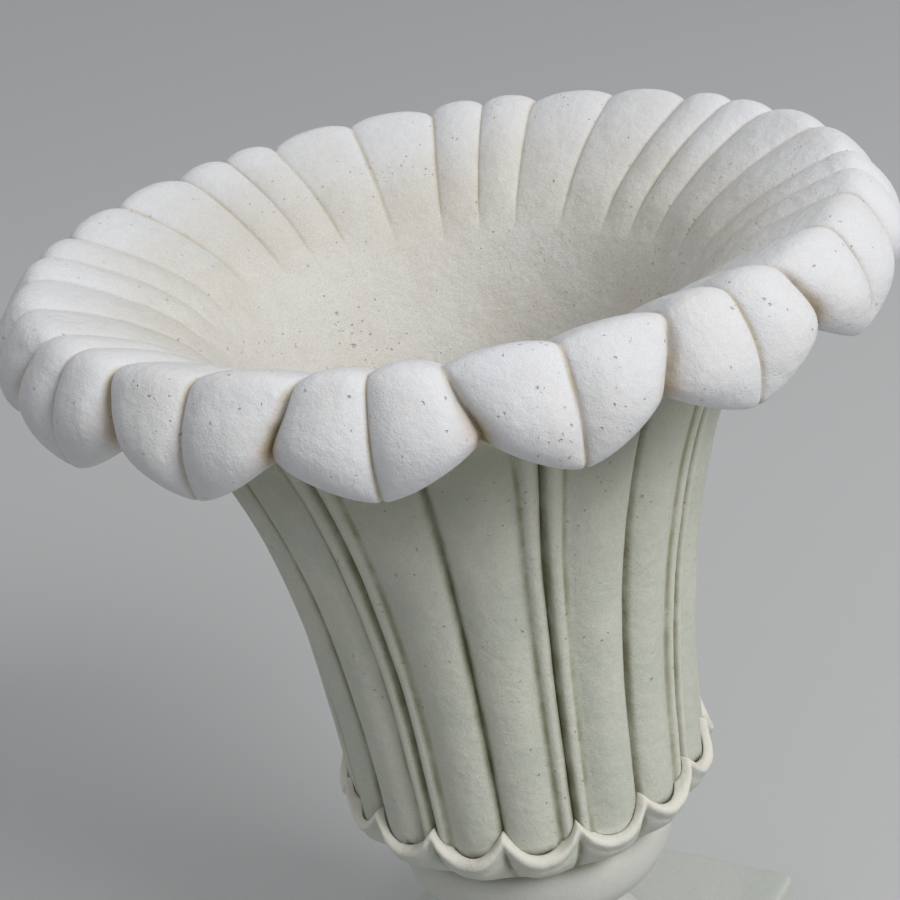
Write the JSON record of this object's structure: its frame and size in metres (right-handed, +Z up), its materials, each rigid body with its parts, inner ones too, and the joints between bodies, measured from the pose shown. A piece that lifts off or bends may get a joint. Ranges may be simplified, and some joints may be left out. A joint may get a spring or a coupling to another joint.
{
  "type": "urn planter",
  "caption": "Cast-stone urn planter: a fluted trumpet bowl with a rolled petal rim and leaf calyx on a turned stem and square plinth, clamped by a hollow tie tube that drains it.",
  "frame": {"origin": "centre of the plinth's underside, on the urn's axis", "axes": "+Z up along the urn's axis; -Y is a plinth face, with the middle of a wide petal above it"},
  "size_m": [0.5588, 0.5588, 0.6325],
  "materials": {
    "cast_stone": "matte, pitted, weathered in the grooves",
    "plinth_stone": "matte, slightly worn",
    "mortar": "rough",
    "galvanised_steel": "dull zinc",
    "rubber": "matte"
  },
  "bodies": {
    "root": {"bowl": "cast_stone", "stem": "cast_stone", "plinth": "plinth_stone", "upper_mortar_bed": "mortar", "lower_mortar_bed": "mortar", "tie_tube": "galvanised_steel", "drain_gasket": "rubber", "top_washer": "galvanised_steel", "top_nut": "galvanised_steel", "bottom_washer": "galvanised_steel", "bottom_nut": "galvanised_steel", "upper_dowel_1": "galvanised_steel", "upper_dowel_2": "galvanised_steel", "lower_dowel_1": "galvanised_steel", "lower_dowel_2": "galvanised_steel"}
  },
  "joints": []
}
